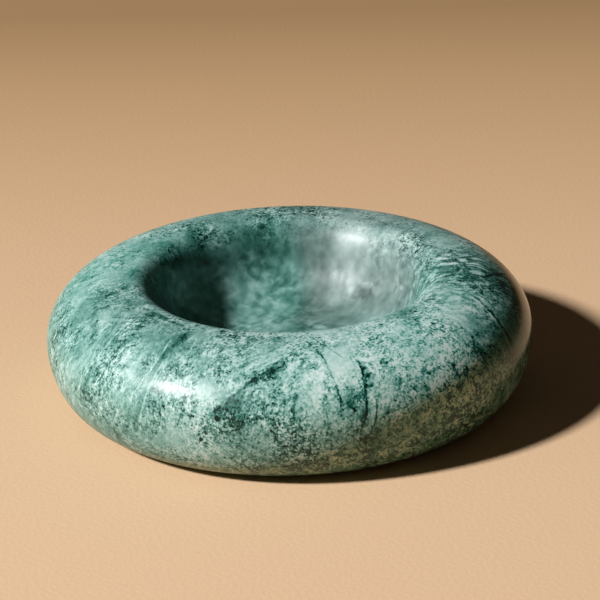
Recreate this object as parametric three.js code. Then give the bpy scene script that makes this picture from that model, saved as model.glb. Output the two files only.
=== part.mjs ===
// A round trinket dish turned from one block of green marble: a thick rolled ring with a bowl sunk in it.
// It stands on felt pads, each held to the flat underside by a film of adhesive.
// Millimetres, +Z up, with the origin on the table under the middle of the dish.

import * as THREE from "three";

// Stone, heights measured from its own underside
const DISH_DIAMETER = 120;
const STONE_HEIGHT = 30;
const BULGE_HEIGHT = 15; // the widest line round the outside
const BASE_UNDERCUT = 10; // how far the flat underside stays inside the bulge
const CREST_LAND = 2.2; // flat ring on top, between the outside and the lip
const LIP_WIDTH = 7.4; // from the land in to the top of the bowl's wall
const LIP_DROP = 8.5; // from the land down to the top of the wall
const MOUTH_DIAMETER = 62.8; // across the top of the wall
const WALL_SLOPE = 80; // degrees from level, where the lip meets the bowl
const FLOOR_DIAMETER = 34; // the flat in the bottom of the bowl
const FLOOR_THICKNESS = 10.7; // stone left under the flat

// Felt pads and their adhesive
const PAD_COUNT = 4;
const PAD_DIAMETER = 12;
const PAD_THICKNESS = 0.85;
const PAD_EDGE_RADIUS = 0.2;
const PAD_MARGIN = 5; // from the edge of the underside to the edge of a pad
const ADHESIVE_THICKNESS = 0.15;
const ADHESIVE_SETBACK = 0.25; // how far the film stays inside the edge of the felt

// Facets
const DISH_FACETS = 72;
const PAD_FACETS = 32;
const ARC_STEPS = 12;
const PAD_ARC_STEPS = 2;
const SAME_POINT = 1e-6; // points closer than this are one

const marble = new THREE.MeshStandardMaterial({ name: "green_marble", color: "#6f9384", roughness: 0.2 });
const felt = new THREE.MeshStandardMaterial({ name: "pad_felt", color: "#4a4d49", roughness: 0.95 });
const adhesive = new THREE.MeshStandardMaterial({ name: "pad_adhesive", color: "#d9d5c6", roughness: 0.5 });

// The ellipse whose arc starts level and, after this run and rise, has come to the slope of the wall.
// Rest is the angle that is left from there to the ellipse's upright side.
function arcToWall(run, rise) {
  const steepness = Math.tan(THREE.MathUtils.degToRad(WALL_SLOPE));
  const rest = Math.asin(1 / ((steepness * run) / rise - 1));
  return { across: run / Math.cos(rest), up: rise / (1 - Math.sin(rest)), rest };
}

// A closed body turned about +Z from a section of (radius, height) points that runs up from the axis.
function turned(name, section, facets, material) {
  const geometry = new THREE.LatheGeometry(section, facets);
  geometry.rotateX(Math.PI / 2);
  const mesh = new THREE.Mesh(geometry, material);
  mesh.name = name;
  return mesh;
}

// The stone's section: flat underside, rolled outside, land, lip, bowl and floor, each meeting the next in line.
function dishSection(outerRadius, baseRadius) {
  const floorRadius = FLOOR_DIAMETER / 2;
  const mouthRadius = MOUTH_DIAMETER / 2;
  const lipRadius = mouthRadius + LIP_WIDTH;
  const crestRadius = lipRadius + CREST_LAND;
  const shoulderWidth = outerRadius - crestRadius;
  const shoulderRise = STONE_HEIGHT - BULGE_HEIGHT;
  const lip = arcToWall(LIP_WIDTH, LIP_DROP);
  const bowl = arcToWall(mouthRadius - floorRadius, STONE_HEIGHT - LIP_DROP - FLOOR_THICKNESS);

  const section = new THREE.Path();
  section.moveTo(0, 0);
  section.lineTo(baseRadius, 0);
  section.absellipse(baseRadius, BULGE_HEIGHT, BASE_UNDERCUT, BULGE_HEIGHT, -Math.PI / 2, 0);
  section.absellipse(crestRadius, BULGE_HEIGHT, shoulderWidth, shoulderRise, 0, Math.PI / 2);
  section.lineTo(lipRadius, STONE_HEIGHT);
  section.absellipse(lipRadius, STONE_HEIGHT - lip.up, lip.across, lip.up, Math.PI / 2, Math.PI - lip.rest);
  section.absellipse(floorRadius, FLOOR_THICKNESS + bowl.up, bowl.across, bowl.up, -bowl.rest, -Math.PI / 2, true);
  section.lineTo(0, FLOOR_THICKNESS);

  const points = [];
  for (const curve of section.curves) {
    for (const point of curve.getPoints(curve.isLineCurve ? 1 : ARC_STEPS)) {
      const last = points.at(-1);
      if (!last || last.distanceTo(point) > SAME_POINT) points.push(point);
    }
  }
  return points;
}

// A felt disc with its cut edges slightly rounded.
function padSection() {
  const radius = PAD_DIAMETER / 2;
  const flat = radius - PAD_EDGE_RADIUS;
  const upper = PAD_THICKNESS - PAD_EDGE_RADIUS;
  const section = new THREE.Path();
  section.moveTo(0, 0);
  section.lineTo(flat, 0);
  section.absarc(flat, PAD_EDGE_RADIUS, PAD_EDGE_RADIUS, -Math.PI / 2, 0);
  section.lineTo(radius, upper);
  section.absarc(flat, upper, PAD_EDGE_RADIUS, 0, Math.PI / 2);
  section.lineTo(0, PAD_THICKNESS);
  return section.getPoints(PAD_ARC_STEPS);
}

// A thin disc of adhesive film.
function adhesiveSection() {
  const radius = PAD_DIAMETER / 2 - ADHESIVE_SETBACK;
  return [
    new THREE.Vector2(0, 0),
    new THREE.Vector2(radius, 0),
    new THREE.Vector2(radius, ADHESIVE_THICKNESS),
    new THREE.Vector2(0, ADHESIVE_THICKNESS),
  ];
}

function buildDish() {
  const outerRadius = DISH_DIAMETER / 2;
  const baseRadius = outerRadius - BASE_UNDERCUT;
  const padCircleRadius = baseRadius - PAD_MARGIN - PAD_DIAMETER / 2;

  const dish = new THREE.Group();
  dish.name = "trinket_dish";

  const body = turned("marble_dish", dishSection(outerRadius, baseRadius), DISH_FACETS, marble);
  body.position.z = PAD_THICKNESS + ADHESIVE_THICKNESS;
  dish.add(body);

  for (let i = 0; i < PAD_COUNT; i++) {
    const angle = ((i + 0.5) / PAD_COUNT) * 2 * Math.PI;
    const foot = new THREE.Group();
    foot.name = `foot_${i + 1}`;
    foot.position.set(padCircleRadius * Math.cos(angle), padCircleRadius * Math.sin(angle), 0);

    const pad = turned(`felt_pad_${i + 1}`, padSection(), PAD_FACETS, felt);
    const film = turned(`pad_adhesive_${i + 1}`, adhesiveSection(), PAD_FACETS, adhesive);
    film.position.z = PAD_THICKNESS;
    foot.add(pad, film);
    dish.add(foot);
  }
  return dish;
}

export default buildDish();
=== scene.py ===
"""Dresses a turned marble trinket dish: the stone, the felt pads under it and the adhesive that holds them.

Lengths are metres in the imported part's own frame, +Z up, the table at Z = 0, the camera on the -Y side.
Sizes that a maker would give in millimetres are written with MM. Patterns in the stone are in millimetres.
"""

from __future__ import annotations

import logging
import math
from collections.abc import Sequence
from dataclasses import dataclass, field
from enum import Enum
from itertools import pairwise
from typing import Any

import bpy
from mathutils import Euler, Matrix, Vector

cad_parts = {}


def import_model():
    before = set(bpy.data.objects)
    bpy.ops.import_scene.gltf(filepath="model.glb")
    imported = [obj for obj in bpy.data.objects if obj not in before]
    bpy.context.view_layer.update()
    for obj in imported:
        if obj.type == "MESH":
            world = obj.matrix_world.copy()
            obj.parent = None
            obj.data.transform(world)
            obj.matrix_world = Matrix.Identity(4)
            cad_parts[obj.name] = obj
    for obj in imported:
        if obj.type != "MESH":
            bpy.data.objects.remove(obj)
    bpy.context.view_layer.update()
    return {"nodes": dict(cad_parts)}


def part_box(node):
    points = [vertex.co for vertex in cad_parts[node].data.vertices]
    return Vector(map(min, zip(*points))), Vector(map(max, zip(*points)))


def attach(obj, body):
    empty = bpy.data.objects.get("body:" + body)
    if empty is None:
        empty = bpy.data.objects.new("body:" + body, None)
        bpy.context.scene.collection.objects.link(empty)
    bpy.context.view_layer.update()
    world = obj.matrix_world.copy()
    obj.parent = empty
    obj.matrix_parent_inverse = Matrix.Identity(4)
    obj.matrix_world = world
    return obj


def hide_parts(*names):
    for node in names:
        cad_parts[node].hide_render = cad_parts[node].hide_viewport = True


LOG = logging.getLogger("trinket_dish")

MM = 0.001
PER_MM = 1000.0
WELD = 0.001 * MM
BODY = "root"
BAKE_MAP = "OFBake"

# A noise texture swings about this far to each side of its middle.
NOISE_MIDDLE = 0.5
NOISE_SWING = 0.25

Place = tuple[float, float]
Source = bpy.types.NodeSocket


class Tone(Enum):
    """Which way a vein moves the stone's tone."""

    DARK = -1.0
    PALE = 1.0


def linear(hex_colour: str) -> tuple[float, float, float, float]:
    """Turn an sRGB hex colour into the linear colour that shaders use, by the sRGB standard's own numbers.

    Args:
        hex_colour: a colour such as "#7BA59B".

    Returns:
        Linear red, green and blue, with an alpha of 1.
    """
    channels = [int(hex_colour[i : i + 2], 16) / 255 for i in (1, 3, 5)]
    values = [c / 12.92 if c <= 0.04045 else ((c + 0.055) / 1.055) ** 2.4 for c in channels]
    return (values[0], values[1], values[2], 1.0)


def add_node(
    tree: bpy.types.NodeTree,
    kind: str,
    inputs: dict[str | int, Any] | None = None,
    stops: tuple[tuple[float, str], ...] = (),
    **settings: Any,
) -> Source | None:
    """Add one shader node with its settings and links.

    Args:
        tree: the material's node tree.
        kind: Blender's name for the node's type, without the ShaderNode in front.
        inputs: what each input takes, by its name or number: a constant, or the socket that feeds it.
        stops: a colour ramp's positions and hex colours.
        **settings: the node's options.

    Returns:
        The node's first output that its options leave in use, or None if it has none.
    """
    node = tree.nodes.new(f"ShaderNode{kind}")
    for option, value in settings.items():
        setattr(node, option, value)
    for key, source in (inputs or {}).items():
        if isinstance(source, Source):
            tree.links.new(source, node.inputs[key])
        else:
            node.inputs[key].default_value = source
    if stops:
        elements = node.color_ramp.elements
        while len(elements) < len(stops):
            elements.new(1.0)
        for element, (position, hex_colour) in zip(elements, stops):
            element.position = position
            element.color = linear(hex_colour)
    return next((output for output in node.outputs if output.enabled), None)


def new_material(name: str) -> tuple[bpy.types.Material, bpy.types.NodeTree, bpy.types.Node]:
    """Make an empty node material.

    Args:
        name: the material's name.

    Returns:
        The material, its node tree and its Principled shader, which is already linked to the output.
    """
    material = bpy.data.materials.new(name)
    material.use_nodes = True
    tree = material.node_tree
    tree.nodes.clear()
    surface = add_node(tree, "BsdfPrincipled")
    add_node(tree, "OutputMaterial", {"Surface": surface})
    return material, tree, surface.node


def deselect() -> None:
    """Leave nothing selected, so that the next operator acts on its own object alone."""
    if bpy.context.object and bpy.context.object.mode != "OBJECT":
        bpy.ops.object.mode_set(mode="OBJECT")
    bpy.ops.object.select_all(action="DESELECT")


def wear(piece: bpy.types.Object, material: bpy.types.Material) -> None:
    """Give a piece one material all over."""
    piece.data.materials.clear()
    piece.data.materials.append(material)


@dataclass(frozen=True)
class EllipseArc:
    """An arc of an ellipse that starts level and steepens to the slope of the bowl's wall.

    Across and up are the ellipse's half-widths. Rest is the angle from the arc's end to the upright side.
    """

    across: float
    up: float
    rest: float

    @classmethod
    def to_wall(cls, run: float, rise: float, slope_deg: float) -> EllipseArc:
        """Find the arc that has come to a slope after a run and a rise."""
        rest = math.asin(1 / (math.tan(math.radians(slope_deg)) * run / rise - 1))
        return cls(run / math.cos(rest), rise / (1 - math.sin(rest)), rest)


@dataclass(frozen=True)
class RingSection:
    """Half the section of the turned stone, from under its middle round the ring to the middle of the bowl.

    A place on it is a turn in degrees: 180 is the edge of the flat underside, 90 the bulge, 0 the outer edge
    of the land on the crest, -90 the top of the bowl's wall and -180 the middle of the bowl. The land and
    the flat floor of the bowl take up the flat turn each.
    """

    outer_radius: float
    underside: float
    crest: float
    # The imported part's own sizes, which its box doesn't give.
    bulge_rise: float = 15.0 * MM
    base_undercut: float = 10.0 * MM
    crest_land: float = 2.2 * MM
    lip_width: float = 7.4 * MM
    lip_drop: float = 8.5 * MM
    mouth_radius: float = 31.4 * MM
    wall_slope: float = 80.0
    floor_radius: float = 17.0 * MM
    floor_thickness: float = 10.7 * MM
    flat_turn: float = 15.0

    def at(self, turn: float) -> tuple[float, float]:
        """Find a place on the section.

        Args:
            turn: the place, in degrees.

        Returns:
            Its radius and height.
        """
        swing = math.radians(turn)
        bulge = self.underside + self.bulge_rise
        lip_radius = self.mouth_radius + self.lip_width
        crest_radius = lip_radius + self.crest_land
        if turn > 90:
            base_radius = self.outer_radius - self.base_undercut
            radius = base_radius + self.base_undercut * math.sin(swing)
            return radius, bulge + self.bulge_rise * math.cos(swing)
        if turn > 0:
            radius = crest_radius + (self.outer_radius - crest_radius) * math.sin(swing)
            return radius, bulge + (self.crest - bulge) * math.cos(swing)
        if turn > -self.flat_turn:
            return crest_radius + self.crest_land * turn / self.flat_turn, self.crest
        arc_turn = 90 - self.flat_turn
        if turn > -90:
            lip = EllipseArc.to_wall(self.lip_width, self.lip_drop, self.wall_slope)
            angle = (math.pi / 2 - lip.rest) * (-turn - self.flat_turn) / arc_turn
            return lip_radius - lip.across * math.sin(angle), self.crest - lip.up * (1 - math.cos(angle))
        floor = self.underside + self.floor_thickness
        if turn > -90 - arc_turn:
            run = self.mouth_radius - self.floor_radius
            bowl = EllipseArc.to_wall(run, self.crest - self.lip_drop - floor, self.wall_slope)
            angle = bowl.rest + (math.pi / 2 - bowl.rest) * (-turn - 90) / arc_turn
            return self.floor_radius + bowl.across * math.cos(angle), floor + bowl.up * (1 - math.sin(angle))
        return self.floor_radius * (180 + turn) / self.flat_turn, floor

    def point(self, place: Place) -> Vector:
        """Find a place on the stone's surface.

        Args:
            place: its bearing round the dish in degrees from the front, positive to the right seen from
                the front, and its turn.

        Returns:
            The point.
        """
        bearing = math.radians(place[0])
        radius, height = self.at(place[1])
        return Vector((radius * math.sin(bearing), -radius * math.cos(bearing), height))

    def outward(self, place: Place) -> Vector:
        """Find the direction straight out of the stone.

        Args:
            place: a bearing and a turn.

        Returns:
            A vector of length 1.
        """
        bearing, turn = place
        down = self.point((bearing, turn + 1)) - self.point((bearing, turn - 1))
        around = self.point((bearing + 1, turn)) - self.point((bearing - 1, turn))
        return down.cross(around).normalized()

    def outline(self) -> list[Vector]:
        """Work out the line that is spun, in the XZ plane.

        Returns:
            Its points, from the axis under the stone round the ring to the middle of the bowl.
        """
        land, floor = -self.flat_turn, self.flat_turn - 180
        # Each stretch runs from one turn to another in a number of steps.
        stretches = (
            (180, 90, 28),
            (90, 0, 36),
            (0, land, 3),
            (land, -90, 28),
            (-90, floor, 32),
            (floor, -180, 8),
        )
        under_steps = 8
        base_radius = self.at(180)[0]
        points = [Vector((base_radius * i / under_steps, 0, self.underside)) for i in range(under_steps)]
        points.append(Vector((base_radius, 0, self.underside)))
        for first, last, steps in stretches:
            for i in range(1, steps + 1):
                radius, height = self.at(first + (last - first) * i / steps)
                points.append(Vector((radius, 0, height)))
        return points


@dataclass(frozen=True)
class Specks:
    """Small dark grains scattered through the stone.

    Each cell of the spacing may hold one grain, and share is how many do. Depth is how much a grain darkens
    the tone. Crowding is how much they gather where the stone is dark already, and edge is how far a grain's
    rim fades to each side, as a share of the spacing.
    """

    spacing_mm: float
    share: float
    radius_mm: float
    depth: float
    crowding: float = 2.0
    edge: float = 0.1


@dataclass(frozen=True)
class Course:
    """A line over the stone's surface, from its start through a place near its middle to its end."""

    start: Place
    through: Place
    end: Place

    def sheet(self, section: RingSection) -> tuple[Vector, float]:
        """Find the ball whose skin cuts into the stone along the line.

        Args:
            section: the section that the places are on.

        Returns:
            The ball's centre, and its radius, which is below zero if the ball lies to the line's right,
            looking from start to end at the outside of the stone.
        """
        start, through, end = (section.point(place) for place in (self.start, self.through, self.end))
        chord = end - start
        right = chord.cross(section.outward(self.through)).normalized()
        bow = (through - (start + end) / 2).dot(right)
        flattest = 0.001 * chord.length
        if abs(bow) < flattest:
            bow = flattest
        radius = chord.length_squared / (8 * bow) + bow / 2
        return (start + end) / 2 + right * (bow - radius), radius

    def length(self, section: RingSection) -> float:
        """Measure straight from start to end."""
        return (section.point(self.end) - section.point(self.start)).length


@dataclass(frozen=True)
class Drift:
    """A soft-edged patch of paler or darker tone: mostly the stone's own, in a few places painted light or
    shade.

    Its place is a bearing and a turn, as RingSection gives them. It fades out over its reach. If it has a
    border, it lies only on the left of it, and the border is soft for some way to each side. Change is what
    it adds to the tone in its middle, grey is how much of the green it takes away there, busy is how much it
    adds to the mottle's strength, and gloss is how much it takes from the roughness.
    """

    place: Place
    reach_mm: float
    change: float
    grey: float = 0.0
    busy: float = 0.0
    gloss: float = 0.0
    border: Course | None = None
    border_soft_mm: float = 1.0


@dataclass(frozen=True)
class Streaks:
    """A field of broken dark seams that run side by side along a course, and fade out over a reach.

    Across and along are a seam's usual width and length, and depth is how much it darkens the tone. Core and
    edge are where on the noise that draws a seam, from -0.5 to 0.5, it is darkest and where it ends.
    """

    course: Course
    reach_mm: float
    across_mm: float
    along_mm: float
    depth: float
    core: float = -0.22
    edge: float = 0.04


@dataclass(frozen=True)
class Threads:
    """A field of thin pale lines along a course, which fade out over a reach from its middle.

    Spacing and along are the lines' usual distance apart and length. Width is how far the noise that draws
    them may be from its middle on a line, and lift is how much a line brightens the tone.
    """

    course: Course
    reach_mm: float
    spacing_mm: float
    along_mm: float
    width: float
    lift: float


@dataclass(frozen=True)
class Cells:
    """A patch of pale lumps in a net of dark green, drawn out along its strike.

    Lift is how much a lump brightens the tone, and net depth how much the net darkens it. The net's edge is
    where the net starts to fade, and the lump's edge where the lump is whole, as shares of a lump.
    """

    place: Place
    reach_mm: float
    strike_deg: float
    lump_mm: float
    drawn: float
    lift: float
    net_depth: float
    net_edge: float = 0.04
    lump_edge: float = 0.36


@dataclass(frozen=True)
class Vein:
    """A thin curved sheet of another mineral, which shows as a line where it comes to the surface.

    The widths are how far it fades out on the left and right of its course. It fades out at both ends too,
    between the two shares of half its length that tail gives.
    """

    course: Course
    tone: Tone
    strength: float
    widths_mm: tuple[float, float] = (0.5, 0.5)
    tail: tuple[float, float] = (0.75, 1.15)


@dataclass(frozen=True)
class GreenMarble:
    """Green serpentine marble, turned and polished outside and left honed in the bowl.

    To the eye it is a pale mint ground, crowded with dark green grains at every size down to a pinprick,
    with drifts of deeper green, fine pale threads and a few long dark veins under a soft wax gloss.
    """

    drifts: tuple[Drift, ...]
    streaks: tuple[Streaks, ...]
    threads: tuple[Threads, ...]
    cells: tuple[Cells, ...]
    veins: tuple[Vein, ...]
    specks: tuple[Specks, ...]
    name: str = "polished_green_marble"
    # The colours of the stone, from its darkest tone to its palest.
    tones: tuple[tuple[float, str], ...] = (
        (0.0, "#061C17"),
        (0.1, "#103A30"),
        (0.25, "#2E6257"),
        (0.4, "#58887F"),
        (0.55, "#86AEA6"),
        (0.68, "#A8C7C0"),
        (0.82, "#BED6D1"),
        (1.0, "#D4E4E0"),
    )
    # The tone of the polished ground, and how much deeper the honed bowl is.
    middle_tone: float = 0.55
    bowl_depth: float = 0.15
    polish_fade_mm: float = 5.0
    # How the stone's folds, and the ragged edges of its minerals, push about what is drawn.
    fold_mm: float = 10.0
    fold_push_mm: float = 1.8
    wander_mm: float = 5.0
    wander_push_mm: float = 0.25
    ragged_mm: float = 1.2
    ragged_push_mm: float = 0.22
    # Clouds of tone, drawn out along the strike and upwards.
    strike_deg: float = 52.0
    cloud_mm: float = 13.0
    cloud_drawn: float = 1.1
    cloud_rise: float = 2.2
    cloud_octaves: float = 2.5
    cloud_roughness: float = 0.85
    cloud_contrast: float = 0.72
    # The mottle of dark and pale minerals.
    mottle_mm: float = 1.9
    mottle_drawn: float = 1.12
    mottle_octaves: float = 2.5
    mottle_roughness: float = 0.9
    mottle_swirl: float = 0.3
    mottle_contrast: float = 1.05
    # Single crystals, drawn coarser than the finest real ones so that they show.
    grain_mm: float = 0.42
    grain_contrast: float = 0.27
    # What is left of all these where the stone is only honed.
    honed_octaves: float = 0.5
    honed_clouds: float = 0.9
    honed_mottle: float = 0.42
    honed_grain: float = 0.08
    # Patches where the mottle is weak or strong, and the least that any drift leaves of it.
    busy_mm: float = 9.0
    busy_octaves: float = 1.0
    busy_span: tuple[float, float] = (0.35, 0.65)
    calmest: float = 0.4
    busiest: float = 1.6
    stillest: float = 0.35
    # Seams and threads along their courses, and the breaks in veins.
    sheet_octaves: float = 1.5
    break_mm: float = 3.5
    break_span: tuple[float, float] = (0.38, 0.6)
    faintest: float = 0.5
    boldest: float = 1.2
    # A soft wax gloss on the ring and a duller one in the bowl.
    ring_roughness: float = 0.37
    bowl_roughness: float = 0.5
    specular: float = 0.4
    ior: float = 1.5

    def material(self, section: RingSection) -> bpy.types.Material:
        """Build the stone's node material.

        Args:
            section: the section that the features' places are on.

        Returns:
            The material.
        """
        material, tree, shader = new_material(self.name)
        place = add_node(tree, "TexCoord").node.outputs["Object"]
        spot = add_node(tree, "VectorMath", {0: place, "Scale": PER_MM}, operation="SCALE")
        folded = self._pushed(tree, spot, self.fold_mm, self.fold_push_mm)
        wandering = self._pushed(tree, spot, self.wander_mm, self.wander_push_mm)
        ragged = self._pushed(tree, wandering, self.ragged_mm, self.ragged_push_mm)
        torn = self._pushed(tree, folded, self.ragged_mm, self.ragged_push_mm)
        polish = self._polish(tree, section, spot)

        busy = self._busy(tree, section, folded)
        tone = self._ground(tree, spot, folded, polish, busy)
        colourfulness: Source | float = 1.0
        roughness = add_node(
            tree, "MapRange", {"Value": polish, "To Min": self.bowl_roughness, "To Max": self.ring_roughness}
        )
        for drift in self.drifts:
            near = self._near(tree, folded, section.point(drift.place), drift.reach_mm)
            if drift.border:
                beside = self._beside(tree, ragged, drift.border, section)
                soft = drift.border_soft_mm
                inside = add_node(tree, "MapRange", {"Value": beside, "From Min": soft, "From Max": -soft})
                near = add_node(tree, "Math", {0: near, 1: inside}, operation="MULTIPLY")
            tone = add_node(tree, "Math", {0: near, 1: drift.change, 2: tone}, operation="MULTIPLY_ADD")
            if drift.grey:
                colourfulness = add_node(
                    tree, "Math", {0: near, 1: -drift.grey, 2: colourfulness}, operation="MULTIPLY_ADD"
                )
            if drift.gloss:
                roughness = add_node(
                    tree, "Math", {0: near, 1: -drift.gloss, 2: roughness}, operation="MULTIPLY_ADD"
                )
        for cells in self.cells:
            tone = self._with_cells(tree, cells, section, torn, tone)
        for streaks in self.streaks:
            tone = self._with_streaks(tree, streaks, section, torn, tone)
        for threads in self.threads:
            tone = self._with_threads(tree, threads, section, torn, tone)
        for vein in self.veins:
            tone = self._with_vein(tree, vein, section, ragged, tone)
        for specks in self.specks:
            tone = self._with_specks(tree, specks, ragged, polish, busy, tone)

        green = add_node(tree, "ValToRGB", {"Fac": tone}, stops=self.tones)
        colour = add_node(tree, "HueSaturation", {"Color": green, "Saturation": colourfulness})
        tree.links.new(colour, shader.inputs["Base Color"])
        tree.links.new(roughness, shader.inputs["Roughness"])
        shader.inputs["IOR"].default_value = self.ior
        shader.inputs["Specular IOR Level"].default_value = self.specular
        return material

    def _pushed(self, tree: bpy.types.NodeTree, spot: Source, size_mm: float, push_mm: float) -> Source:
        """Push the place about, so that what is drawn there wanders.

        Args:
            tree: the material's node tree.
            spot: the place in millimetres.
            size_mm: the size of the bends.
            push_mm: how far they go to each side.

        Returns:
            The place that was pushed.
        """
        noise = add_node(tree, "TexNoise", {"Vector": spot, "Scale": 1 / size_mm}).node.outputs["Color"]
        middle = (NOISE_MIDDLE, NOISE_MIDDLE, NOISE_MIDDLE)
        centred = add_node(tree, "VectorMath", {0: noise, 1: middle}, operation="SUBTRACT")
        push = add_node(tree, "VectorMath", {0: centred, "Scale": push_mm / NOISE_SWING}, operation="SCALE")
        return add_node(tree, "VectorMath", {0: spot, 1: push}, operation="ADD")

    def _polish(self, tree: bpy.types.NodeTree, section: RingSection, spot: Source) -> Source:
        """Tell how well the stone is polished.

        Args:
            tree: the material's node tree.
            section: the stone's section.
            spot: the place in millimetres.

        Returns:
            1 on the ring and the underside, and 0 inside the mouth.
        """
        flat = add_node(tree, "VectorMath", {0: spot, 1: (1, 1, 0)}, operation="MULTIPLY")
        radius = add_node(tree, "VectorMath", {0: flat}, operation="LENGTH")
        mouth = section.mouth_radius * PER_MM
        ring = add_node(
            tree,
            "MapRange",
            {"Value": radius, "From Min": mouth, "From Max": mouth + self.polish_fade_mm},
            interpolation_type="SMOOTHSTEP",
        )
        under_bowl = (section.underside + section.floor_thickness / 2) * PER_MM
        height = add_node(tree, "SeparateXYZ", {"Vector": spot}).node.outputs["Z"]
        underneath = add_node(tree, "Math", {0: height, 1: under_bowl}, operation="LESS_THAN")
        return add_node(tree, "Math", {0: ring, 1: underneath}, operation="MAXIMUM")

    def _near(self, tree: bpy.types.NodeTree, spot: Source, point: Vector, reach_mm: float) -> Source:
        """Tell how near the place is to a point.

        Args:
            tree: the material's node tree.
            spot: the place in millimetres.
            point: the point, in metres.
            reach_mm: where it counts as far.

        Returns:
            1 at the point, falling smoothly to 0 at the reach.
        """
        away = add_node(tree, "VectorMath", {0: spot, 1: point * PER_MM}, operation="DISTANCE")
        return add_node(
            tree,
            "MapRange",
            {"Value": away, "From Min": reach_mm, "From Max": 0.0},
            interpolation_type="SMOOTHSTEP",
        )

    def _beside(
        self, tree: bpy.types.NodeTree, spot: Source, course: Course, section: RingSection
    ) -> Source:
        """Tell how far the place is to the right of a course's sheet.

        Args:
            tree: the material's node tree.
            spot: the place in millimetres.
            course: the course.
            section: the section that its places are on.

        Returns:
            The distance in millimetres, below zero on the left.
        """
        centre, radius = course.sheet(section)
        away = add_node(tree, "VectorMath", {0: spot, 1: centre * PER_MM}, operation="DISTANCE")
        side = math.copysign(1.0, radius)
        return add_node(tree, "Math", {0: away, 1: side, 2: -radius * PER_MM}, operation="MULTIPLY_ADD")

    def _drawn(
        self, tree: bpy.types.NodeTree, spot: Source, strike_deg: float, along: float, up: float
    ) -> Source:
        """Turn the place to a strike, and draw out what is there along it and upwards.

        Args:
            tree: the material's node tree.
            spot: the place in millimetres.
            strike_deg: the strike.
            along: how much longer things get along it.
            up: how much taller they get.

        Returns:
            The place to draw them at.
        """
        turn = (0.0, 0.0, math.radians(strike_deg))
        return add_node(
            tree,
            "Mapping",
            {"Vector": spot, "Rotation": turn, "Scale": (along, 1.0, up)},
            vector_type="TEXTURE",
        )

    def _sheeted(
        self, tree: bpy.types.NodeTree, beside: Source, spot: Source, across_mm: float, along_mm: float
    ) -> Source:
        """Draw noise that changes fast across a course's sheets and slowly along them.

        Args:
            tree: the material's node tree.
            beside: how far the place is to the right of the course's sheet, in millimetres.
            spot: the place in millimetres.
            across_mm: the size of the changes across the sheets.
            along_mm: their size along the sheets.

        Returns:
            The noise, from -0.5 to 0.5.
        """
        slow = add_node(tree, "VectorMath", {0: spot, "Scale": 1 / along_mm}, operation="SCALE")
        sheets = add_node(
            tree, "VectorMath", {0: beside, 1: (1 / across_mm, 0, 0), 2: slow}, operation="MULTIPLY_ADD"
        )
        noise = add_node(tree, "TexNoise", {"Vector": sheets, "Scale": 1.0, "Detail": self.sheet_octaves})
        return add_node(tree, "Math", {0: noise, 1: NOISE_MIDDLE}, operation="SUBTRACT")

    def _busy(self, tree: bpy.types.NodeTree, section: RingSection, folded: Source) -> Source:
        """Tell how strong the mottle is: it comes and goes in patches, besides what the drifts add.

        Args:
            tree: the material's node tree.
            section: the section that the drifts' places are on.
            folded: the place in the folded stone, in millimetres.

        Returns:
            The mottle's strength, about 1 on the whole.
        """
        patches = add_node(
            tree, "TexNoise", {"Vector": folded, "Scale": 1 / self.busy_mm, "Detail": self.busy_octaves}
        )
        busy = add_node(
            tree,
            "MapRange",
            {
                "Value": patches,
                "From Min": self.busy_span[0],
                "From Max": self.busy_span[1],
                "To Min": self.calmest,
                "To Max": self.busiest,
            },
        )
        for drift in self.drifts:
            if drift.busy:
                near = self._near(tree, folded, section.point(drift.place), drift.reach_mm)
                busy = add_node(tree, "Math", {0: near, 1: drift.busy, 2: busy}, operation="MULTIPLY_ADD")
        return add_node(tree, "Math", {0: busy, 1: self.stillest}, operation="MAXIMUM")

    def _ground(
        self, tree: bpy.types.NodeTree, spot: Source, folded: Source, polish: Source, busy: Source
    ) -> Source:
        """Work out the tone of the ground, from its clouds and its mottle, which honing leaves fainter.

        Args:
            tree: the material's node tree.
            spot: the place in millimetres.
            folded: the place in the folded stone, in millimetres.
            polish: how well the stone is polished.
            busy: how strong the mottle is.

        Returns:
            The tone, from 0, near black, to 1, near white.
        """
        bedded = self._drawn(tree, folded, self.strike_deg, self.cloud_drawn, self.cloud_rise)
        clouds = add_node(
            tree,
            "TexNoise",
            {
                "Vector": bedded,
                "Scale": 1 / self.cloud_mm,
                "Detail": self.cloud_octaves,
                "Roughness": self.cloud_roughness,
            },
        )
        cloudy = add_node(tree, "Math", {0: clouds, 1: NOISE_MIDDLE}, operation="SUBTRACT")
        along = self._drawn(tree, spot, self.strike_deg, self.mottle_drawn, self.mottle_drawn)
        octaves = add_node(
            tree, "MapRange", {"Value": polish, "To Min": self.honed_octaves, "To Max": self.mottle_octaves}
        )
        mottle = add_node(
            tree,
            "TexNoise",
            {
                "Vector": along,
                "Scale": 1 / self.mottle_mm,
                "Detail": octaves,
                "Roughness": self.mottle_roughness,
                "Distortion": self.mottle_swirl,
            },
        )
        mottled = add_node(tree, "Math", {0: mottle, 1: NOISE_MIDDLE}, operation="SUBTRACT")
        tone = add_node(
            tree,
            "MapRange",
            {"Value": polish, "To Min": self.middle_tone - self.bowl_depth, "To Max": self.middle_tone},
        )
        cloudiness = add_node(
            tree,
            "MapRange",
            {
                "Value": polish,
                "To Min": self.honed_clouds * self.cloud_contrast,
                "To Max": self.cloud_contrast,
            },
        )
        tone = add_node(tree, "Math", {0: cloudy, 1: cloudiness, 2: tone}, operation="MULTIPLY_ADD")
        crystals = add_node(tree, "TexVoronoi", {"Vector": along, "Scale": 1 / self.grain_mm}, feature="F1")
        shade = add_node(tree, "SeparateColor", {"Color": crystals.node.outputs["Color"]})
        grained = add_node(tree, "Math", {0: shade, 1: NOISE_MIDDLE}, operation="SUBTRACT")
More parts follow.
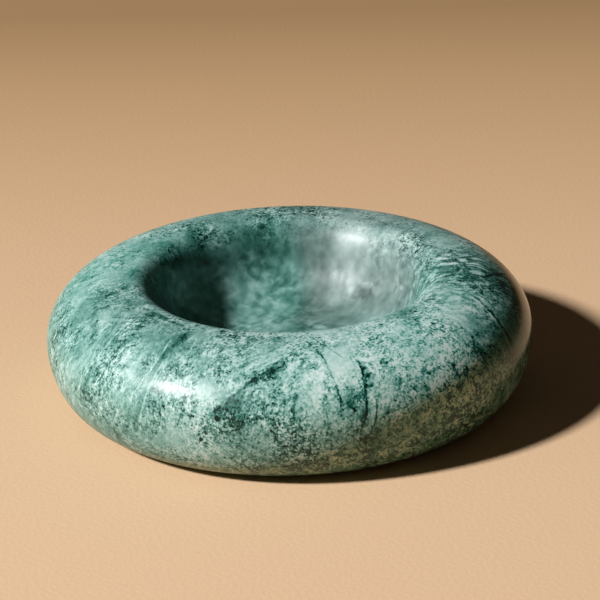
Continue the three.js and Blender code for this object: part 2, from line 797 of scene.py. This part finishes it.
        for layer, contrast, honed in (
            (mottled, self.mottle_contrast, self.honed_mottle),
            (grained, self.grain_contrast, self.honed_grain),
        ):
            shown = add_node(
                tree, "MapRange", {"Value": polish, "To Min": honed * contrast, "To Max": contrast}
            )
            strength = add_node(tree, "Math", {0: shown, 1: busy}, operation="MULTIPLY")
            tone = add_node(tree, "Math", {0: layer, 1: strength, 2: tone}, operation="MULTIPLY_ADD")
        return tone

    def _with_cells(
        self, tree: bpy.types.NodeTree, cells: Cells, section: RingSection, spot: Source, tone: Source
    ) -> Source:
        """Lay a patch of pale lumps and their dark net over the tone so far.

        Args:
            tree: the material's node tree.
            cells: the patch.
            section: the section that its place is on.
            spot: the place in millimetres.
            tone: the tone so far.

        Returns:
            The tone with the patch in it.
        """
        near = self._near(tree, spot, section.point(cells.place), cells.reach_mm)
        along = self._drawn(tree, spot, cells.strike_deg, cells.drawn, 1.0)
        scale = 1 / cells.lump_mm
        edge = add_node(tree, "TexVoronoi", {"Vector": along, "Scale": scale}, feature="DISTANCE_TO_EDGE")
        change = add_node(
            tree,
            "MapRange",
            {
                "Value": edge,
                "From Min": cells.net_edge,
                "From Max": cells.lump_edge,
                "To Min": -cells.net_depth,
                "To Max": cells.lift,
            },
            interpolation_type="SMOOTHSTEP",
        )
        return add_node(tree, "Math", {0: near, 1: change, 2: tone}, operation="MULTIPLY_ADD")

    def _with_streaks(
        self, tree: bpy.types.NodeTree, streaks: Streaks, section: RingSection, spot: Source, tone: Source
    ) -> Source:
        """Lay a field of broken seams over the tone so far.

        Args:
            tree: the material's node tree.
            streaks: the field.
            section: the section that its course is on.
            spot: the place in millimetres.
            tone: the tone so far.

        Returns:
            The tone with the seams in it.
        """
        near = self._near(tree, spot, section.point(streaks.course.through), streaks.reach_mm)
        beside = self._beside(tree, spot, streaks.course, section)
        sheets = self._sheeted(tree, beside, spot, streaks.across_mm, streaks.along_mm)
        seams = add_node(
            tree,
            "MapRange",
            {
                "Value": sheets,
                "From Min": streaks.core,
                "From Max": streaks.edge,
                "To Min": -streaks.depth,
                "To Max": 0.0,
            },
        )
        return add_node(tree, "Math", {0: near, 1: seams, 2: tone}, operation="MULTIPLY_ADD")

    def _with_threads(
        self, tree: bpy.types.NodeTree, threads: Threads, section: RingSection, spot: Source, tone: Source
    ) -> Source:
        """Lay a field of pale threads over the tone so far.

        Args:
            tree: the material's node tree.
            threads: the field.
            section: the section that its course is on.
            spot: the place in millimetres.
            tone: the tone so far.

        Returns:
            The tone with the threads in it.
        """
        near = self._near(tree, spot, section.point(threads.course.through), threads.reach_mm)
        beside = self._beside(tree, spot, threads.course, section)
        sheets = self._sheeted(tree, beside, spot, threads.spacing_mm, threads.along_mm)
        off = add_node(tree, "Math", {0: sheets}, operation="ABSOLUTE")
        lines = add_node(
            tree,
            "MapRange",
            {"Value": off, "From Min": threads.width, "From Max": 0.0, "To Max": threads.lift},
            interpolation_type="SMOOTHSTEP",
        )
        return add_node(tree, "Math", {0: near, 1: lines, 2: tone}, operation="MULTIPLY_ADD")

    def _with_specks(
        self,
        tree: bpy.types.NodeTree,
        specks: Specks,
        ragged: Source,
        polish: Source,
        busy: Source,
        tone: Source,
    ) -> Source:
        """Scatter dark grains over the tone so far, fainter where the stone is calm or only honed.

        Args:
            tree: the material's node tree.
            specks: the grains.
            ragged: the place in millimetres, with ragged edges.
            polish: how well the stone is polished.
            busy: how strong the mottle is.
            tone: the tone so far.

        Returns:
            The tone with the grains in it.
        """
        away = add_node(tree, "TexVoronoi", {"Vector": ragged, "Scale": 1 / specks.spacing_mm}, feature="F1")
        luck = add_node(tree, "SeparateColor", {"Color": away.node.outputs["Color"]})
        crowded = add_node(tree, "Math", {0: tone, 1: -specks.crowding, 2: luck}, operation="MULTIPLY_ADD")
        most = 1 - specks.crowding * self.middle_tone
        radius = add_node(
            tree,
            "MapRange",
            {
                "Value": crowded,
                "From Min": most - specks.share,
                "From Max": most,
                "To Min": -specks.edge,
                "To Max": specks.radius_mm / specks.spacing_mm,
            },
        )
        outside = add_node(tree, "Math", {0: away, 1: radius}, operation="SUBTRACT")
        depth = add_node(
            tree,
            "MapRange",
            {"Value": polish, "To Min": -self.honed_grain * specks.depth, "To Max": -specks.depth},
        )
        shown = add_node(tree, "Math", {0: busy, 1: 1.0}, operation="MINIMUM")
        grain = add_node(
            tree,
            "MapRange",
            {"Value": outside, "From Min": specks.edge, "From Max": -specks.edge, "To Max": shown},
            interpolation_type="SMOOTHSTEP",
        )
        return add_node(tree, "Math", {0: grain, 1: depth, 2: tone}, operation="MULTIPLY_ADD")

    def _with_vein(
        self, tree: bpy.types.NodeTree, vein: Vein, section: RingSection, spot: Source, tone: Source
    ) -> Source:
        """Lay one vein over the tone so far.

        Args:
            tree: the material's node tree.
            vein: the vein.
            section: the section that its places are on.
            spot: the place in millimetres.
            tone: the tone so far.

        Returns:
            The tone with the vein in it.
        """
        beside = self._beside(tree, spot, vein.course, section)
        left_mm, right_mm = vein.widths_mm
        to_right = add_node(tree, "Math", {0: beside, 1: 1 / right_mm}, operation="MULTIPLY")
        to_left = add_node(tree, "Math", {0: beside, 1: -1 / left_mm}, operation="MULTIPLY")
        reach = add_node(tree, "Math", {0: to_right, 1: to_left}, operation="MAXIMUM")
        sheet = add_node(
            tree,
            "MapRange",
            {"Value": reach, "From Min": 1.0, "From Max": 0.0},
            interpolation_type="SMOOTHSTEP",
        )
        middle = section.point(vein.course.through) * PER_MM
        along = add_node(tree, "VectorMath", {0: spot, 1: middle}, operation="DISTANCE")
        half = vein.course.length(section) / 2 * PER_MM
        full, gone = vein.tail
        shown = add_node(
            tree,
            "MapRange",
            {
                "Value": along,
                "From Min": gone * half,
                "From Max": full * half,
                "To Max": vein.tone.value * vein.strength,
            },
            interpolation_type="SMOOTHSTEP",
        )
        breaks = add_node(tree, "TexNoise", {"Vector": spot, "Scale": 1 / self.break_mm})
        whole = add_node(
            tree,
            "MapRange",
            {
                "Value": breaks,
                "From Min": self.break_span[0],
                "From Max": self.break_span[1],
                "To Min": self.faintest,
                "To Max": self.boldest,
            },
        )
        broken = add_node(tree, "Math", {0: shown, 1: whole}, operation="MULTIPLY")
        return add_node(tree, "Math", {0: sheet, 1: broken, 2: tone}, operation="MULTIPLY_ADD")


@dataclass(frozen=True)
class PressedFelt:
    """Wool felt, pressed flat and die-cut: a dull charcoal mat of short fibres that scatters all gloss."""

    name: str = "pressed_wool_felt"
    dark: str = "#33362F"
    light: str = "#62665D"
    tone_span: tuple[float, float] = (0.35, 0.68)
    # Single fibres are far thinner than this, too fine to show, so tufts of them are drawn.
    tuft_mm: float = 0.35
    tuft_octaves: float = 4.0
    tangle: float = 1.5
    nap: float = 0.12 * MM
    nap_strength: float = 0.8
    roughness: float = 0.95

    def material(self) -> bpy.types.Material:
        """Build the felt's node material.

        Returns:
            The material.
        """
        material, tree, shader = new_material(self.name)
        place = add_node(tree, "TexCoord").node.outputs["Object"]
        tufts = add_node(
            tree,
            "TexNoise",
            {
                "Vector": place,
                "Scale": PER_MM / self.tuft_mm,
                "Detail": self.tuft_octaves,
                "Distortion": self.tangle,
            },
        )
        low, high = self.tone_span
        colour = add_node(tree, "ValToRGB", {"Fac": tufts}, stops=((low, self.dark), (high, self.light)))
        bump = add_node(tree, "Bump", {"Height": tufts, "Distance": self.nap, "Strength": self.nap_strength})
        tree.links.new(colour, shader.inputs["Base Color"])
        tree.links.new(bump, shader.inputs["Normal"])
        shader.inputs["Roughness"].default_value = self.roughness
        return material


@dataclass(frozen=True)
class AcrylicFilm:
    """Acrylic adhesive on a cream paper carrier: a satin film with faint cloudy coating marks."""

    name: str = "acrylic_adhesive_film"
    thin: str = "#CFC9B6"
    thick: str = "#E2DDCF"
    tone_span: tuple[float, float] = (0.35, 0.65)
    coating_mm: float = 1.6
    coating_octaves: float = 3.0
    roughness: float = 0.45

    def material(self) -> bpy.types.Material:
        """Build the film's node material.

        Returns:
            The material.
        """
        material, tree, shader = new_material(self.name)
        place = add_node(tree, "TexCoord").node.outputs["Object"]
        coating = add_node(
            tree,
            "TexNoise",
            {"Vector": place, "Scale": PER_MM / self.coating_mm, "Detail": self.coating_octaves},
        )
        low, high = self.tone_span
        colour = add_node(tree, "ValToRGB", {"Fac": coating}, stops=((low, self.thin), (high, self.thick)))
        tree.links.new(colour, shader.inputs["Base Color"])
        shader.inputs["Roughness"].default_value = self.roughness
        return material


@dataclass(frozen=True)
class RolledPaint:
    """Matt emulsion paint, rolled on: a plain warm sand colour with a faint tooth and almost no gloss.

    Its tones darken from the near edge to the far edge of what the camera sees, as painted shade for the
    lamp's light falling away behind the dish. The bounce is the colour with which it throws light back on
    the dish.
    """

    name: str = "matt_painted_floor"
    # The tones darken toward the back: painted shade for the lamp's light falling away.
    tones: tuple[tuple[float, str], ...] = (
        (0.0, "#E0BD98"),
        (0.38, "#D7B38E"),
        (0.55, "#CEAA83"),
        (0.78, "#BE9A72"),
        (1.0, "#A6845E"),
    )
    near: float = -60 * MM
    far: float = 338 * MM
    bounce: str = "#AA8858"
    tooth_mm: float = 1.2
    tooth_octaves: float = 3.0
    tooth_height: float = 0.12 * MM
    tooth_strength: float = 0.6
    roughness: float = 0.8
    specular: float = 0.2

    def material(self) -> bpy.types.Material:
        """Build the paint's node material.

        Returns:
            The material.
        """
        material, tree, shader = new_material(self.name)
        place = add_node(tree, "TexCoord").node.outputs["Object"]
        tooth = add_node(
            tree,
            "TexNoise",
            {"Vector": place, "Scale": PER_MM / self.tooth_mm, "Detail": self.tooth_octaves},
        )
        bump = add_node(
            tree,
            "Bump",
            {"Height": tooth, "Distance": self.tooth_height, "Strength": self.tooth_strength},
        )
        tree.links.new(bump, shader.inputs["Normal"])
        # Painted shade: the paint darkens from the near edge to the far edge, where the lamp's light falls
        # away.
        depth = add_node(tree, "SeparateXYZ", {"Vector": place}).node.outputs["Y"]
        painted_falloff = add_node(tree, "MapRange", {"Value": depth, "From Min": self.near, "From Max": self.far})
        paint = add_node(tree, "ValToRGB", {"Fac": painted_falloff}, stops=self.tones)
        path = add_node(tree, "LightPath").node.outputs
        seen = add_node(
            tree, "Math", {0: path["Is Camera Ray"], 1: path["Is Glossy Ray"]}, operation="MAXIMUM"
        )
        colour = add_node(tree, "MixRGB", {"Fac": seen, "Color1": linear(self.bounce), "Color2": paint})
        tree.links.new(colour, shader.inputs["Base Color"])
        shader.inputs["Roughness"].default_value = self.roughness
        shader.inputs["Specular IOR Level"].default_value = self.specular
        return material


@dataclass
class TurnedDish:
    """The stone body, spun from its section."""

    finish: GreenMarble
    node: str = "marble_dish"
    slot: str = "green_marble"
    spin_steps: int = 288
    seam_lines: int = 3
    map_margin: float = 0.004
    section: RingSection = field(init=False)

    def __post_init__(self) -> None:
        """Take the stone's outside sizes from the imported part."""
        low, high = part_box(self.node)
        self.section = RingSection(outer_radius=high[0], underside=low[2], crest=high[2])

    def build(self) -> bpy.types.Object:
        """Model, unwrap and dress the stone.

        Returns:
            The finished piece.
        """
        stone = self._model()
        self._unwrap(stone)
        wear(stone, self.finish.material(self.section))
        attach(stone, BODY)
        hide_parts(self.node)
        return stone

    def _model(self) -> bpy.types.Object:
        """Draw the section point by point and spin it about the upright axis.

        Returns:
            The bare stone.
        """
        outline = self.section.outline()
        deselect()
        # A small plane, merged to one point, starts the line.
        bpy.ops.mesh.primitive_plane_add(size=MM, location=outline[0])
        stone = bpy.context.object
        stone.name = "turned_stone"
        bpy.ops.object.mode_set(mode="EDIT")
        bpy.ops.mesh.select_all(action="SELECT")
        bpy.ops.mesh.merge(type="CENTER")
        for here, there in pairwise(outline):
            bpy.ops.mesh.extrude_region_move(TRANSFORM_OT_translate={"value": there - here})
        bpy.ops.mesh.select_all(action="SELECT")
        bpy.ops.mesh.spin(steps=self.spin_steps, angle=math.tau, center=(0, 0, 0), axis=(0, 0, 1))
        bpy.ops.mesh.select_all(action="SELECT")
        bpy.ops.mesh.remove_doubles(threshold=WELD)
        bpy.ops.mesh.normals_make_consistent(inside=False)
        bpy.ops.object.mode_set(mode="OBJECT")
        bpy.ops.object.transform_apply(location=True, rotation=True, scale=True)
        bpy.ops.object.shade_smooth()
        return stone

    def _is_seam(self, first: Vector, second: Vector) -> bool:
        """Tell whether an edge is cut when the skin is laid flat.

        Args:
            first: one end of the edge.
            second: its other end.

        Returns:
            True on the rings round the underside and the bowl, and on a few lines down the outside.
        """
        close = 10 * WELD
        ends = (first, second)
        for turn in (180, -90):
            radius, height = self.section.at(turn)
            if all(abs(end.xy.length - radius) < close and abs(end.z - height) < close for end in ends):
                return True
        outside = all(end.xy.length > self.section.mouth_radius - close for end in ends)
        off_base = any(end.z > self.section.underside + close for end in ends)
        if not (outside and off_base):
            return False
        for i in range(self.seam_lines):
            away = Matrix.Rotation(math.tau * i / self.seam_lines, 2) @ Vector((1, 0))
            if all(end.xy.dot(away) > 0 and abs(end.xy.cross(away)) < close for end in ends):
                return True
        return False

    def _unwrap(self, stone: bpy.types.Object) -> None:
        """Cut the skin along its seams and lay it flat, on the map that the surface is baked through.

        Args:
            stone: the bare stone.
        """
        mesh = stone.data
        bpy.ops.object.mode_set(mode="EDIT")
        bpy.ops.mesh.select_mode(type="EDGE")
        bpy.ops.mesh.select_all(action="DESELECT")
        bpy.ops.object.mode_set(mode="OBJECT")
        for edge in mesh.edges:
            first, second = (mesh.vertices[i].co for i in edge.vertices)
            edge.select = self._is_seam(first, second)
        bpy.ops.object.mode_set(mode="EDIT")
        bpy.ops.mesh.mark_seam()
        bpy.ops.mesh.select_all(action="SELECT")
        bpy.ops.uv.unwrap(method="CONFORMAL", margin=self.map_margin)
        bpy.ops.object.mode_set(mode="OBJECT")
        mesh.uv_layers.active.name = BAKE_MAP


@dataclass
class FeltFeet:
    """The felt discs that the stone stands on, each held to it by an adhesive film."""

    felt: bpy.types.Material
    film: bpy.types.Material
    slot: str = "pad_felt"
    count: int = 4
    cut_sides: int = 96
    edge_round: float = 0.2 * MM
    edge_segments: int = 3
    sharp_deg: float = 50.0

    def build(self, nodes: dict[str, bpy.types.Object]) -> list[bpy.types.Object]:
        """Model one disc, copy it to the other feet, and dress the discs and their films.

        Args:
            nodes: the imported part's objects by node.

        Returns:
            The discs and the films.
        """
        discs = [self._model()]
        for number in range(2, self.count + 1):
            discs.append(self._copy(discs[0], number))
        for number, disc in enumerate(discs, start=1):
            disc.name = f"felt_disc_{number}"
            wear(disc, self.felt)
            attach(disc, BODY)
            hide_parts(self._pad(number))
        films = [nodes[f"pad_adhesive_{number}"] for number in range(1, self.count + 1)]
        for film in films:
            wear(film, self.film)
        return discs + films

    def _pad(self, number: int) -> str:
        """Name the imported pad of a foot."""
        return f"felt_pad_{number}"

    def _centre(self, number: int) -> Vector:
        """Find the middle of a foot's packed pad."""
        low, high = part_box(self._pad(number))
        return (Vector(low) + Vector(high)) / 2

    def _model(self) -> bpy.types.Object:
        """Cut the first foot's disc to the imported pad's size, with softened edges.

        Returns:
            The disc.
        """
        low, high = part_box(self._pad(1))
        size = Vector(high) - Vector(low)
        deselect()
        bpy.ops.mesh.primitive_cylinder_add(
            vertices=self.cut_sides, radius=size.x / 2, depth=size.z, location=self._centre(1)
        )
        disc = bpy.context.object
        bpy.ops.object.transform_apply(location=True, rotation=True, scale=True)
        bpy.ops.object.mode_set(mode="EDIT")
        bpy.ops.mesh.select_all(action="SELECT")
        bpy.ops.mesh.bevel(offset=self.edge_round, segments=self.edge_segments, affect="EDGES")
        bpy.ops.object.mode_set(mode="OBJECT")
        bpy.ops.object.shade_smooth_by_angle(angle=math.radians(self.sharp_deg))
        return disc

    def _copy(self, disc: bpy.types.Object, number: int) -> bpy.types.Object:
        """Copy the first foot's disc, with a mesh of its own, to another foot.

        Args:
            disc: the first foot's disc.
            number: the other foot.

        Returns:
            The copy.
        """
        deselect()
        disc.select_set(True)
        bpy.context.view_layer.objects.active = disc
        bpy.ops.object.duplicate(linked=False)
        copy = bpy.context.object
        copy.location = self._centre(number) - self._centre(1)
        bpy.ops.object.transform_apply(location=True, rotation=True, scale=True)
        return copy


@dataclass
class Studio:
    """The plain floor, the light and the camera.

    Angles are in degrees: a bearing is from the front, positive to the right, and a height is above level.
    The camera looks at the aim and is then turned right and up from it, which places the dish in the frame.
    """

    paint: RolledPaint
    floor_size: float = 6.0
    key_bearing: float = -65.0
    key_height: float = 38.0
    key_distance: float = 4.0
    key_width: float = 0.457
    key_power: float = 246.0
    sky_colour: str = "#F5DFC4"
    sky_strength: float = 0.035
    aim: Vector = field(default_factory=lambda: Vector((0, 0, 13 * MM)))
    camera_distance: float = 600 * MM
    camera_height: float = 23.7
    camera_roll: float = 1.85
    turn_right: float = 0.237
    turn_up: float = 0.899
    lens: float = 144.9

    def build(self) -> None:
        """Lay the floor, hang the light and set up the camera."""
        bpy.context.scene.view_settings.view_transform = "Standard"
        self._floor()
        self._light()
        self._camera()

    def _toward(self, bearing: float, height: float) -> Vector:
        """Find a direction from the dish.

        Args:
            bearing: degrees from the front, positive to the right.
            height: degrees above level.

        Returns:
            A vector of length 1.
        """
        level = math.cos(math.radians(height))
        side = math.radians(bearing)
        return Vector((level * math.sin(side), -level * math.cos(side), math.sin(math.radians(height))))

    def _floor(self) -> None:
        """Lay a plain pale floor."""
        deselect()
        bpy.ops.mesh.primitive_plane_add(size=self.floor_size)
        floor = bpy.context.object
        floor.name = "floor"
        wear(floor, self.paint.material())

    def _light(self) -> None:
        """Hang one soft lamp at the front left, with pale light from all round."""
        toward = self._toward(self.key_bearing, self.key_height)
        turn = toward.to_track_quat("Z", "Y").to_euler()
        deselect()
        bpy.ops.object.light_add(type="AREA", location=toward * self.key_distance, rotation=turn)
        lamp = bpy.context.object
        lamp.name = "key_lamp"
        lamp.data.shape = "DISK"
        lamp.data.size = self.key_width
        lamp.data.energy = self.key_power
        world = bpy.data.worlds.new("pale_room")
        world.use_nodes = True
        sky = world.node_tree.nodes["Background"]
        sky.inputs["Color"].default_value = linear(self.sky_colour)
        sky.inputs["Strength"].default_value = self.sky_strength
        bpy.context.scene.world = world

    def _camera(self) -> None:
        """Set the camera at the front, a little rolled, with the dish left of and below the middle."""
        toward = self._toward(0.0, self.camera_height)
        level = toward.to_track_quat("Z", "Y").to_matrix()
        offset = Euler((math.radians(self.turn_up), -math.radians(self.turn_right), 0.0)).to_matrix()
        roll = Matrix.Rotation(-math.radians(self.camera_roll), 3, "Z")
        turn = (level @ roll @ offset).to_euler()
        deselect()
        bpy.ops.object.camera_add(location=self.aim + toward * self.camera_distance, rotation=turn)
        camera = bpy.context.object
        camera.name = "camera"
        camera.data.lens = self.lens
        bpy.context.scene.camera = camera


# Courses that several features share.
BAND = Course((6, 4), (-6.5, 38), (-17.5, 71))
LEFT_SEAM = Course((-60, 105), (-52, 56), (-55, 15))
INNER_LEFT_SEAM = Course((-37, 117), (-34.5, 74), (-33, 30))
FRONT_ARC = Course((15, 18), (17.6, 61), (14.4, 98))
RIGHT_LIE = Course((60, -8), (85, -8), (110, -8))
BOWL_BORDER = Course((-179, -40), (174.5, -90), (172, -145))

DRIFTS = (
    # The pale front, paler and greener still at the front right, and darker, busier tone low down.
    Drift((12, 45), 30, 0.19, grey=-0.15, busy=-0.1),
    Drift((4, 50), 15, 0.16, busy=-0.3),
    Drift((12.5, 28), 7, 0.1),
    Drift((13.8, 66), 6, -0.16),
    # Partly painted light: paler, greener tone at the front right, where the lamp's shading falls off, on
    # top of paler stone there.
    Drift((38, 50), 26, 0.19, grey=-0.35, busy=0.8),
    Drift((10, 118), 32, -0.23, busy=1.0),
    Drift((45, 118), 28, -0.24, busy=1.2),
    Drift((-30, 108), 28, -0.05),
    # The dark band, and the paler stone above it.
    Drift((-15, 38), 12, 0.08, busy=-0.2),
    Drift((-12.5, 54), 4, 0.2),
    Drift((-5, 44), 9, -0.12, border=BAND, border_soft_mm=0.5),
    Drift((-14, 74), 9.5, -0.28, busy=0.3, border=BAND, border_soft_mm=0.4),
    # The calmer left.
    Drift((-60, 50), 45, -0.06, busy=-0.3),
    # Partly painted highlight: a paler, calmer patch round the lamp's highlight, standing in for its glow as
    # well as paler stone.
    Drift((-36, 62), 12, 0.06, busy=-0.7),
    Drift((-42, -5), 14, -0.06),
    # The right, pale on top and dark and glossy down its flank, where part of the dark is painted shade.
    Drift((43, 2), 8, -0.2),
    Drift((92, 0), 20, 0.06, busy=-0.4),
    Drift((78, 45), 22, -0.05),
    Drift((65, 20), 22, 0.16, grey=-0.15, busy=-0.1),
    Drift((58, 58), 16, -0.22, busy=-0.6),
    # Partly painted shade: darker tone down the flank turned away from the lamp, on top of darker stone
    # there.
    Drift((82, 75), 30, -0.36),
    Drift((84, 62), 34, 0.0, gloss=0.25),
    # The back, and the dark lip of the bowl there.
    Drift((-105, 8), 34, 0.04, grey=-0.3, busy=-0.5),
    Drift((130, 0), 30, -0.04),
    Drift((180, 15), 30, -0.15),
    Drift((-140, -42), 14, -0.2),
    Drift((-118, -44), 10, -0.2),
    Drift((-169, -59), 12, -0.12),
    # The bowl: painted shade on the left, and on the right a greyer veil that is partly a painted sheen.
    # Painted shade: darkens the bowl's left side, where the lip's shadow falls, beyond what the light leaves
    # there.
    Drift((-80, -115), 24, -0.4),
    Drift((-171, -109), 16, 0.05),
    # Partly painted sheen: the greyer, less green right of the bowl stands in for the lamp's broad gloss
    # there as well as a greyer zone of stone.
    Drift((150, -105), 32, -0.03, grey=0.6, busy=-0.5, border=BOWL_BORDER, border_soft_mm=2.5),
    # Partly painted highlight: paler, calmer stone under the bowl's upper highlight, besides the glossier
    # polish there.
    Drift((152, -60), 14, 0.05, busy=-0.5, gloss=0.04),
    Drift((138, -72), 11, 0.08),
    Drift((110, -92), 18, 0.0, grey=0.35),
    Drift((123, -133), 15, -0.07),
    Drift((157, -155), 12, -0.1),
    Drift((-158, -100), 9, -0.07),
    # Pits.
    Drift((-17.8, 79), 0.9, -1.2),
    Drift((-19.3, 97), 0.9, -1.2),
    Drift((14.4, 75), 0.7, -0.8),
    Drift((41, 11), 0.7, -1.0),
    Drift((44.5, 23), 0.7, -1.0),
)

# Course, reach, width across, length along and depth.
STREAKS = (
    Streaks(LEFT_SEAM, 44, 2.4, 7, 0.09),
    Streaks(LEFT_SEAM, 44, 0.9, 6, 0.1),
    Streaks(FRONT_ARC, 30, 2.4, 8, 0.15),
    Streaks(BAND, 18, 1.2, 7, 0.25),
    Streaks(RIGHT_LIE, 30, 2.4, 5, 0.12),
)

# Course, reach, spacing, length along, width and lift.
THREADS = (
    Threads(LEFT_SEAM, 40, 4.0, 26, 0.014, 0.22),
    Threads(INNER_LEFT_SEAM, 24, 4.0, 26, 0.014, 0.22),
)

# Place, reach, strike, lump size, how far it is drawn out, lift and the net's depth.
CELLS = (
    Cells((92, 5), 17, -8, 2.6, 2.1, 0.3, 0.26),
    Cells((66, 15), 20, -10, 2.4, 1.5, 0.1, 0.16),
)

VEINS = (
    # The edge of the dark band, and the fan of veins at the front.
    Vein(BAND, Tone.DARK, 0.26, (3.5, 0.5)),
    Vein(FRONT_ARC, Tone.DARK, 0.2, (1.6, 2.6)),
    Vein(FRONT_ARC, Tone.DARK, 0.42, (0.4, 0.4)),
    Vein(Course((17.9, 40), (18.2, 50), (18, 60)), Tone.DARK, 0.25, (1.2, 1.2)),
    Vein(Course((18.5, 64), (18.5, 85), (14.9, 106)), Tone.DARK, 0.45, (0.35, 0.35)),
    Vein(Course((4.5, 14), (1.6, 52), (-0.4, 85)), Tone.DARK, 0.2, (1.0, 1.2)),
    Vein(Course((7, 15), (9.9, 44), (11, 72)), Tone.DARK, 0.14, (1.0, 1.6)),
    Vein(Course((7, 15), (9.9, 44), (11, 72)), Tone.DARK, 0.34, (0.4, 0.4)),
    Vein(Course((6.5, -3), (10.2, 15), (13.7, 29)), Tone.DARK, 0.3, (0.3, 0.3)),
    Vein(Course((18.3, 9), (21.8, 25), (25.2, 40)), Tone.PALE, 0.2, (0.3, 0.3)),
    Vein(Course((19.3, 32), (22, 30.6), (24.6, 29)), Tone.DARK, 0.35, (0.3, 0.3)),
    Vein(Course((42, 63), (38.6, 76), (37, 90)), Tone.DARK, 0.3, (0.5, 0.5)),
    # The right.
    Vein(Course((68.6, 19), (64.5, 45), (62.7, 72)), Tone.DARK, 0.4, (0.6, 0.6)),
    Vein(Course((67.6, 19), (63.3, 45), (61.5, 72)), Tone.PALE, 0.25, (0.4, 0.4)),
    Vein(Course((84.6, 23), (89.5, 34), (94.8, 46)), Tone.DARK, 0.5, (0.6, 0.6)),
    # The left.
    Vein(Course((-49, 27), (-49, 42), (-48, 60)), Tone.DARK, 0.22, (1.8, 1.6)),
    Vein(Course((-33.5, 4), (-33.5, 22), (-34, 40)), Tone.DARK, 0.22, (2.0, 1.6)),
    Vein(Course((-58, -6), (-48, -7), (-37, -3)), Tone.DARK, 0.25, (1.3, 1.3)),
    Vein(LEFT_SEAM, Tone.PALE, 0.2, (0.35, 0.35)),
    Vein(INNER_LEFT_SEAM, Tone.PALE, 0.2, (0.35, 0.35)),
    Vein(Course((-36.2, 11), (-35.3, 45), (-38, 75)), Tone.PALE, 0.25, (0.3, 0.3)),
    Vein(Course((-28.5, 12), (-28, 30), (-28.5, 46)), Tone.PALE, 0.25, (0.3, 0.3)),
)

# Spacing, share, radius and depth.
SPECKS = (
    Specks(2.4, 0.25, 0.5, 0.3),
    Specks(1.3, 0.25, 0.34, 0.28),
    Specks(0.8, 0.25, 0.26, 0.26),
)


def main() -> None:
    """Build the dish, its feet and the studio."""
    logging.basicConfig(level=logging.INFO, format="%(name)s: %(message)s")
    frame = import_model()

    marble = GreenMarble(DRIFTS, STREAKS, THREADS, CELLS, VEINS, SPECKS)
    stone = TurnedDish(marble).build()
    LOG.info("%s: %d faces", stone.name, len(stone.data.polygons))

    felt = PressedFelt().material()
    film = AcrylicFilm().material()
    for piece in FeltFeet(felt, film).build(frame["nodes"]):
        LOG.info("%s: %d faces", piece.name, len(piece.data.polygons))

    Studio(RolledPaint()).build()


if __name__ == "__main__":
    main()
